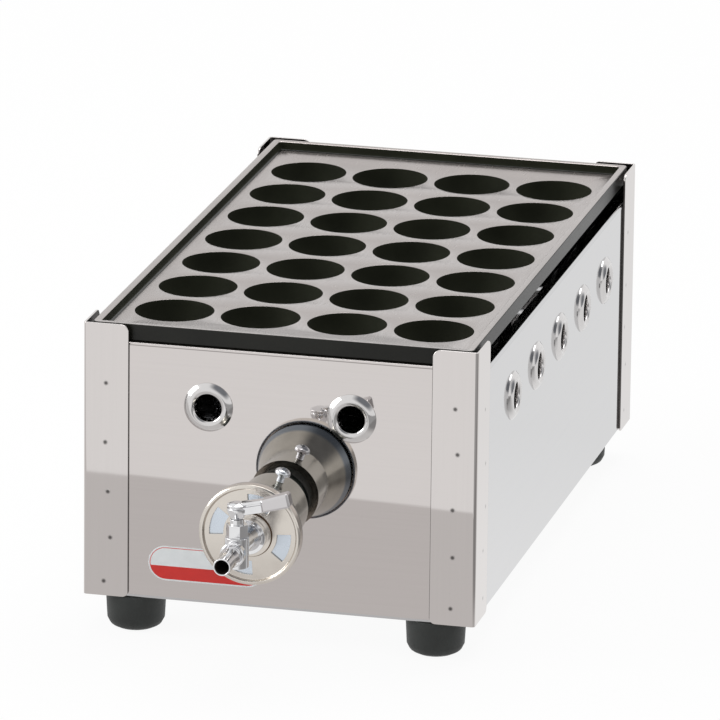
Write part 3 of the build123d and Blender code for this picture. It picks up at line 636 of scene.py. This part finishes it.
def make_griddle(materials):
    """The plate with smooth cups: ground floor and rim, cast walls and underside, baked cups."""
    low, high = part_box("griddle_plate")
    half_x, half_y = (high.x - low.x) / 2, (high.y - low.y) / 2
    middle = (low.y + high.y) / 2
    floor = high.z - RIM_HEIGHT
    under = floor - SLAB
    places = [
        ((i - (CUPS_ACROSS - 1) / 2) * CUP_PITCH_X, middle + (j - (CUPS_DEEP - 1) / 2) * CUP_PITCH_Y)
        for i in range(CUPS_ACROSS)
        for j in range(CUPS_DEEP)
    ]
    foot = RIM_WIDTH + (RIM_HEIGHT - RIM_FILLET) * math.tan(RIM_DRAFT)
    bm = bmesh.new()

    def outline(inset, z):
        corner = max(PLATE_CORNER - inset / 4, PLATE_CORNER / 3)
        return [bm.verts.new(p) for p in rounded_rectangle(half_x - inset, half_y - inset, corner, middle, z)]

    walls = [
        (outline(RIM_ROUND, under), CAST),
        (outline(0, under + RIM_ROUND), CAST),
        (outline(0, high.z - RIM_ROUND / 2), CAST),
        (outline(RIM_ROUND / 2, high.z), GROUND),
        (outline(RIM_WIDTH - RIM_ROUND / 2, high.z), GROUND),
        (outline(RIM_WIDTH + RIM_ROUND / 4, high.z - RIM_ROUND / 2), BAKED),
    ]
    for step in range(FILLET_STEPS + 1):
        turn = math.pi / 2 * step / FILLET_STEPS
        inset = foot + RIM_FILLET * (1 - math.cos(turn))
        slot = BAKED if step < FILLET_STEPS / 2 else CAST
        walls.append((outline(inset, floor + RIM_FILLET * (1 - math.sin(turn))), slot))
    for (lower, slot), (upper, _) in zip(walls, walls[1:]):
        join_rings(bm, lower, upper, slot)

    mouths = [cup_inside(bm, place, floor) for place in places]
    roots = [cup_outside(bm, place, floor, under) for place in places]
    plate_with_holes(bm, walls[-1][0], mouths, GROUND, True)
    plate_with_holes(bm, walls[0][0], roots, CAST, False)
    stands_for(object_from(bm, "griddle_fine", materials), "griddle_plate", "griddle")


# ---------------------------------------------------------------- eyelets
# A piece's own X, Y and Z on each side of the housing, as columns
FACING = {
    "front": Matrix(((1, 0, 0), (0, 0, -1), (0, 1, 0))),
    "right": Matrix(((0, 0, 1), (1, 0, 0), (0, 1, 0))),
    "left": Matrix(((0, 0, -1), (-1, 0, 0), (0, 1, 0))),
    "back": Matrix(((-1, 0, 0), (0, 0, 1), (0, 1, 0))),
}


def placed(facing, point):
    """The matrix that stands a piece on a point, with its own Z out of that side of the housing."""
    return Matrix.Translation(point) @ FACING[facing].to_4x4()


def eyelet_profile():
    """From the bore's inner end up the funnel, over the crest, down the sloping band and back."""
    profile = [(EYELET_BORE, -EYELET_TAIL, 0)]
    for step in range(EYELET_FUNNEL_STEPS + 1):
        turn = math.pi / 2 * step / EYELET_FUNNEL_STEPS
        across = EYELET_CREST - (EYELET_CREST - EYELET_BORE) * math.cos(turn)
        profile.append((across, EYELET_HEIGHT - EYELET_FUNNEL * (1 - math.sin(turn)), 0))
    for step in range(1, EYELET_BAND_STEPS + 1):
        share = step / EYELET_BAND_STEPS
        across = EYELET_CREST + (EYELET_FLANGE - EYELET_CREST) * share
        fall = EYELET_HEIGHT + (EYELET_EDGE - EYELET_HEIGHT) * share
        profile.append((across, fall + EYELET_BULGE * math.sin(math.pi * share), 0))
    return profile + [(EYELET_FLANGE, 0, 0), (EYELET_NECK, 0, 0), (EYELET_NECK, -EYELET_TAIL, 0)]


def make_eyelets(material):
    """The pressed rings round the two sight holes and the ten vents."""
    profile = eyelet_profile()
    for facing, node_name, panel, count in (
        ("front", "front_eyelets", "front_panel", SIGHT_HOLES),
        ("right", "right_vent_eyelets", "right_side_panel", VENTS),
        ("left", "left_vent_eyelets", "left_side_panel", VENTS),
    ):
        low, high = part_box(node_name)
        panel_low, panel_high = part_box(panel)
        height = (low.z + high.z) / 2
        bm = bmesh.new()
        for k in range(count):
            share = k / (count - 1)
            if facing == "front":
                along = (low.x + EYELET_FLANGE) * (1 - share) + (high.x - EYELET_FLANGE) * share
                point = (along, panel_low.y, height)
            else:
                along = (low.y + EYELET_FLANGE) * (1 - share) + (high.y - EYELET_FLANGE) * share
                point = (panel_high.x if facing == "right" else panel_low.x, along, height)
            lathe(bm, profile, placed(facing, point), EYELET_STEPS)
        stands_for(object_from(bm, node_name + "_fine", [material]), node_name, "housing")


# ---------------------------------------------------------------- spot welds
def weld_profile(slots):
    """A shallow cap from its rim up to its core, a slot to each ring."""
    rises = [WELD_RISE * k / len(WELD_RINGS) for k in range(len(WELD_RINGS))]
    return [*zip(WELD_RINGS, rises, slots), (0, WELD_RISE, slots[-1])]


def make_welds(materials):
    """A column of small weld marks on both flanges of each post, darker towards the middle: weld tint and
    painted dimple shade.
    """
    face, flank = weld_profile(WELD_SLOTS_FACE), weld_profile(WELD_SLOTS_SIDE)
    for depth, inward in (("front", 1), ("back", -1)):
        for side, sign, column in (("left", -1, WELDS_LEFT), ("right", 1, WELDS_RIGHT)):
            low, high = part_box(f"post_{depth}_{side}")
            edge_x = low.x if side == "left" else high.x
            edge_y = low.y if depth == "front" else high.y
            bm = bmesh.new()
            for inset, height in column:
                point = (edge_x - sign * inset * MM, edge_y, height * MM)
                lathe(bm, face, placed(depth, point), WELD_STEPS, closed=False)
            for inset, height in WELDS_SIDE:
                point = (edge_x, edge_y + inward * inset * MM, height * MM)
                lathe(bm, flank, placed(side, point), WELD_STEPS, closed=False)
            marks = object_from(bm, f"weld_marks_{depth}_{side}", materials)
            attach(marks, "housing")


# ---------------------------------------------------------------- label
def lozenge(inset):
    """(x, z) corners of the label's outline, pulled in, counter-clockwise from its right end."""
    left, right = LABEL_LEFT + inset, LABEL_RIGHT - inset
    bottom, top = LABEL_BOTTOM + inset, LABEL_TOP - inset
    radius, middle = (top - bottom) / 2, (top + bottom) / 2
    points = []
    for centre, start in ((right - radius, -math.pi / 2), (left + radius, math.pi / 2)):
        for step in range(LABEL_END_STEPS + 1):
            turn = start + math.pi * step / LABEL_END_STEPS
            points.append((centre + radius * math.cos(turn), middle + radius * math.sin(turn)))
    return points


def make_label(white, red):
    """The bare two-tone label: a white margin, a fine red line, a white half over a red half."""
    face_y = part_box("front_panel")[0].y - LABEL_THICKNESS
    bm = bmesh.new()
    rings = [[bm.verts.new((x, face_y + LABEL_THICKNESS, z)) for x, z in lozenge(0)]]
    for inset in (LABEL_THICKNESS / 2, LABEL_MARGIN, LABEL_MARGIN + LABEL_LINE):
        rings.append([bm.verts.new((x, face_y, z)) for x, z in lozenge(inset)])
    for slot, (outer, inner) in zip((0, 0, 1), zip(rings, rings[1:])):
        join_rings(bm, outer, inner, slot)
    field = bm.faces.new(rings[-1])
    cut = bmesh.ops.bisect_plane(
        bm,
        geom=[field, *field.edges, *field.verts],
        plane_co=(0, face_y, LABEL_SPLIT),
        plane_no=(0, 0, 1),
    )
    for face in cut["geom"]:
        if isinstance(face, bmesh.types.BMFace):
            face.material_index = 0 if face.calc_center_median().z > LABEL_SPLIT else 1
    label = object_from(bm, "bare_label", [white, red])
    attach(label, "housing")


# ---------------------------------------------------------------- set screw
def cross_prism(bm, length, width, low, high):
    """A closed prism with the outline of a plus, about the local Z axis."""
    end, side = length / 2, width / 2
    corners = [(end, -side), (end, side), (side, side), (side, end), (-side, end), (-side, side)]
    corners += [(-x, -y) for x, y in corners]
    lower, upper = ([bm.verts.new((x, y, z)) for x, y in corners] for z in (low, high))
    join_rings(bm, lower, upper, 0)
    bm.faces.new(lower)
    bm.faces.new(upper)


def carve(piece, cutter):
    """Cuts one closed mesh out of another, and takes the cutter away."""
    cut = piece.modifiers.new("cut", "BOOLEAN")
    cut.object = cutter
    cut.solver = "EXACT"
    bpy.context.view_layer.update()
    mesh = bpy.data.meshes.new_from_object(piece.evaluated_get(bpy.context.evaluated_depsgraph_get()))
    piece.modifiers.clear()
    piece.data = mesh
    mesh.set_sharp_from_angle(angle=SMOOTH_BELOW)
    bpy.data.objects.remove(cutter)


def make_set_screw(material):
    """The cross-recessed screw that holds the bell: threaded shank and domed head."""
    low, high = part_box("set_screw")
    bell_low, bell_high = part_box("bell_mouth")
    centre = (0, (low.y + high.y) / 2, (bell_low.z + bell_high.z) / 2)
    place = Matrix.Translation(centre) @ Matrix.Rotation(SCREW_LEAN, 4, "Y")
    profile = [(0, SCREW_ROOT, 0)]
    for k in range(int((SCREW_NECK - SCREW_ROOT) / SCREW_PITCH)):
        start = SCREW_ROOT + k * SCREW_PITCH
        profile.append((SCREW_RADIUS - SCREW_THREAD, start, 0))
        profile.append((SCREW_RADIUS, start + SCREW_PITCH / 2, 0))
    profile += [(SCREW_RADIUS - SCREW_THREAD, SCREW_NECK, 0), (SCREW_HEAD_RADIUS, SCREW_NECK, 0)]
    for step in range(SCREW_HEAD_STEPS):
        turn = math.pi / 2 * step / SCREW_HEAD_STEPS
        rise = SCREW_HEAD_EDGE + (SCREW_HEAD_HEIGHT - SCREW_HEAD_EDGE) * math.sin(turn)
        profile.append((SCREW_HEAD_RADIUS * math.cos(turn), SCREW_NECK + rise, 0))
    profile.append((0, SCREW_NECK + SCREW_HEAD_HEIGHT, 0))
    bm = bmesh.new()
    lathe(bm, profile, place, SCREW_STEPS, closed=False)
    screw = object_from(bm, "set_screw_fine", [material])
    cross = bmesh.new()
    top = SCREW_NECK + SCREW_HEAD_HEIGHT
    bottom, above = top - SCREW_CROSS_DEPTH, top + SCREW_CROSS_ABOVE
    cross_prism(cross, SCREW_CROSS_LENGTH, SCREW_CROSS_WIDTH, bottom, above)
    bmesh.ops.transform(cross, matrix=place, verts=cross.verts)
    carve(screw, object_from(cross, "cross", [material]))
    stands_for(screw, "set_screw", "housing")


# ---------------------------------------------------------------- stage
def make_floor():
    """The pale floor: near white to the camera, and to reflections a grey mat and a shaded side."""
    bm = bmesh.new()
    bmesh.ops.create_grid(bm, x_segments=1, y_segments=1, size=FLOOR_SIZE)
    material = bpy.data.materials.new("floor_pale")
    material.use_nodes = True
    material.node_tree.nodes.clear()
    out = node(material, "ShaderNodeOutputMaterial")
    diffuse = node(material, "ShaderNodeBsdfDiffuse", Color=(*FLOOR_COLOUR, 1)).outputs[0]
    white = node(material, "ShaderNodeEmission", Color=(1, 1, 1, 1), Strength=1.0).outputs[0]
    place = node(material, "ShaderNodeTexCoord")
    split = node(material, "ShaderNodeSeparateXYZ")
    wire(material, place.outputs["Object"], split.inputs["Vector"])
    across, along = split.outputs["X"], split.outputs["Y"]
    tilted = combine(material, "SUBTRACT", along, combine(material, "MULTIPLY", across, MAT_SLOPE))
    past_edge = spread(material, tilted, 0.0, 1.0, MAT_EDGE - MAT_BLUR, MAT_EDGE + MAT_BLUR)
    before_back = spread(material, along, 1.0, 0.0, MAT_BACK - MAT_BACK_BLUR, MAT_BACK + MAT_BACK_BLUR)
    near = combine(material, "MULTIPLY", past_edge, before_back)
    slanted = combine(material, "SUBTRACT", across, combine(material, "MULTIPLY", along, SHADE_SLANT))
    aside = spread(material, slanted, 0.0, 1.0, SHADE_START, SHADE_END)
    ahead = spread(material, along, 0.0, 1.0, SHADE_BACK, SHADE_FRONT)
    shade = combine(material, "MULTIPLY", aside, ahead)
    shown = node(material, "ShaderNodeEmission")
    wire(material, tint(material, near, (1, 1, 1), MAT_GREY), shown.inputs["Color"])
    shaded = spread(material, shade, 1.0, SHADE_LEVEL, 0.0, 1.0)
    behind = spread(material, along, 1.0, BACK_LEVEL, BACK_START, BACK_END)
    wire(material, combine(material, "MULTIPLY", shaded, behind), shown.inputs["Strength"])
    path = node(material, "ShaderNodeLightPath")
    mirrored = combine(
        material, "MAXIMUM", path.outputs["Is Glossy Ray"], path.outputs["Is Transmission Ray"]
    )
    lit = mix_shaders(material, mirrored, diffuse, shown.outputs[0])
    bare = combine(material, "MULTIPLY", path.outputs["Is Camera Ray"], FLOOR_WHITE_SHARE)
    wire(material, mix_shaders(material, bare, lit, white), out.inputs["Surface"])
    object_from(bm, "floor", [material])


def make_world():
    """A white studio with a plain level of light, and two dark corners that polished metal shows."""
    world = bpy.data.worlds.new("studio")
    bpy.context.scene.world = world
    world.use_nodes = True
    world.node_tree.nodes.clear()
    out = node(world, "ShaderNodeOutputWorld")
    light = node(world, "ShaderNodeBackground", Strength=WORLD_LIGHT).outputs[0]
    white = node(world, "ShaderNodeBackground", Color=(1, 1, 1, 1), Strength=1.0).outputs[0]
    shown = node(world, "ShaderNodeBackground", Strength=1.0)
    place = node(world, "ShaderNodeTexCoord")
    zones = []
    for direction, edge, core in DARK_ZONES:
        towards = node(world, "ShaderNodeVectorMath", operation="DOT_PRODUCT")
        wire(world, place.outputs["Generated"], towards.inputs[0])
        towards.inputs[1].default_value = Vector(direction).normalized()
        limits = math.cos(math.radians(edge)), math.cos(math.radians(core))
        zones.append(spread(world, towards.outputs["Value"], 0.0, 1.0, *limits))
    dark = combine(world, "MAXIMUM", *zones)
    wire(world, tint(world, dark, (1, 1, 1), DARK_COLOUR), shown.inputs["Color"])
    path = node(world, "ShaderNodeLightPath")
    mirrored = combine(world, "MAXIMUM", path.outputs["Is Glossy Ray"], path.outputs["Is Transmission Ray"])
    lit = mix_shaders(world, mirrored, light, shown.outputs[0])
    wire(world, mix_shaders(world, path.outputs["Is Camera Ray"], lit, white), out.inputs["Surface"])


def add_lamp(name, place, size, power):
    """A large soft lamp that looks at the object."""
    data = bpy.data.lights.new(name, "AREA")
    data.shape = "SQUARE"
    data.size = size
    data.energy = power
    lamp = bpy.data.objects.new(name, data)
    lamp.location = place
    lamp.rotation_euler = (Vector(LAMP_AIM) - Vector(place)).to_track_quat("-Z", "Y").to_euler()
    bpy.context.scene.collection.objects.link(lamp)


add_camera()
make_world()
make_floor()
add_lamp("key_lamp", *KEY_LAMP)
add_lamp("top_lamp", *TOP_LAMP)

bell_low, bell_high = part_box("bell_mouth")
burner_axis = (0, 0, (bell_low.z + bell_high.z) / 2)

front_steel = make_front_steel()
panel_steel = sheet_steel("panel_steel", (0.585, 0.585, 0.592), roughness=0.03, grain=GRAIN_Y)
post_steel = make_post_steel()
ground = ground_iron()
cast = iron("griddle_cast", (0.0075, 0.0078, 0.0055), roughness=0.33, specular=0.28, grain=1300, strength=0.3)
baked = iron("cup_baked", (0.0180, 0.0195, 0.0125), roughness=0.7, specular=0.05, grain=1100, strength=0.3)
burner_black = iron("burner_black", (0.015, 0.020, 0.017), roughness=0.5, specular=0.4)
bell_iron = make_bell_iron(burner_axis)
bracket_steel = plated("bracket_steel", (0.5, 0.5, 0.5), roughness=0.35)
zinc = plated("zinc", (0.70, 0.72, 0.75), roughness=0.2)
disc_zinc = plated("disc_zinc", (0.66, 0.72, 0.79), roughness=0.25)
nickel = make_damper_nickel(burner_axis)
chrome = plated("cock_chrome", CHROME_COLOUR, CHROME_ROUGHNESS)
hose_chrome = make_hose_chrome(burner_axis)
lever_chrome = make_lever_chrome()
eyelet_chrome = plated("eyelet_steel", (0.66, 0.645, 0.64), roughness=0.11)
brass = plated("jet_brass", (0.72, 0.56, 0.28), roughness=0.25)
# Weld rings: real weld tint, deepened by painted dimple shade towards the core
weld_steels = [
    plated(f"weld_steel_{k}", scaled(POST_COLOUR, shade), roughness=0.1)
    for k, shade in enumerate(WELD_SHADES)
]
rubber_black = rubber()
ink_white = printed("ink_white", (0.80, 0.83, 0.84))
ink_red = printed("ink_red", (0.66, 0.022, 0.016))

for finish, edge, names in (
    (front_steel, SHEET_EDGE, ["front_panel"]),
    (panel_steel, SHEET_EDGE, ["back_panel", "left_side_panel", "right_side_panel", "base_plate"]),
    (post_steel, SHEET_EDGE, ["post_front_left", "post_front_right", "post_back_left", "post_back_right"]),
    (rubber_black, FOOT_ROUNDING, ["rubber_feet"]),
    (bracket_steel, 0, ["burner_brackets_front", "burner_brackets_rear"]),
    (zinc, 0, ["foot_screws", "foot_nuts", "burner_screws", "bracket_screws", "shank_nut"]),
    (burner_black, 0, ["burner"]),
    (bell_iron, 0, ["bell_mouth"]),
    (disc_zinc, 0, ["fixed_air_disc"]),
    (nickel, DISH_ROUNDING, ["damper_dish"]),
    (chrome, TURNED_EDGE, ["cock_body", "gland_nut", "valve_plug"]),
    (hose_chrome, TURNED_EDGE, ["hose_end"]),
    (lever_chrome, TURNED_EDGE, ["lever"]),
    (brass, 0, ["gas_jet"]),
):
    for name in names:
        dress(name, finish, edge)

make_griddle([ground, cast, baked])
make_eyelets(eyelet_chrome)
make_welds(weld_steels)
make_label(ink_white, ink_red)
make_set_screw(zinc)

bpy.context.scene.view_settings.view_transform = "Standard"
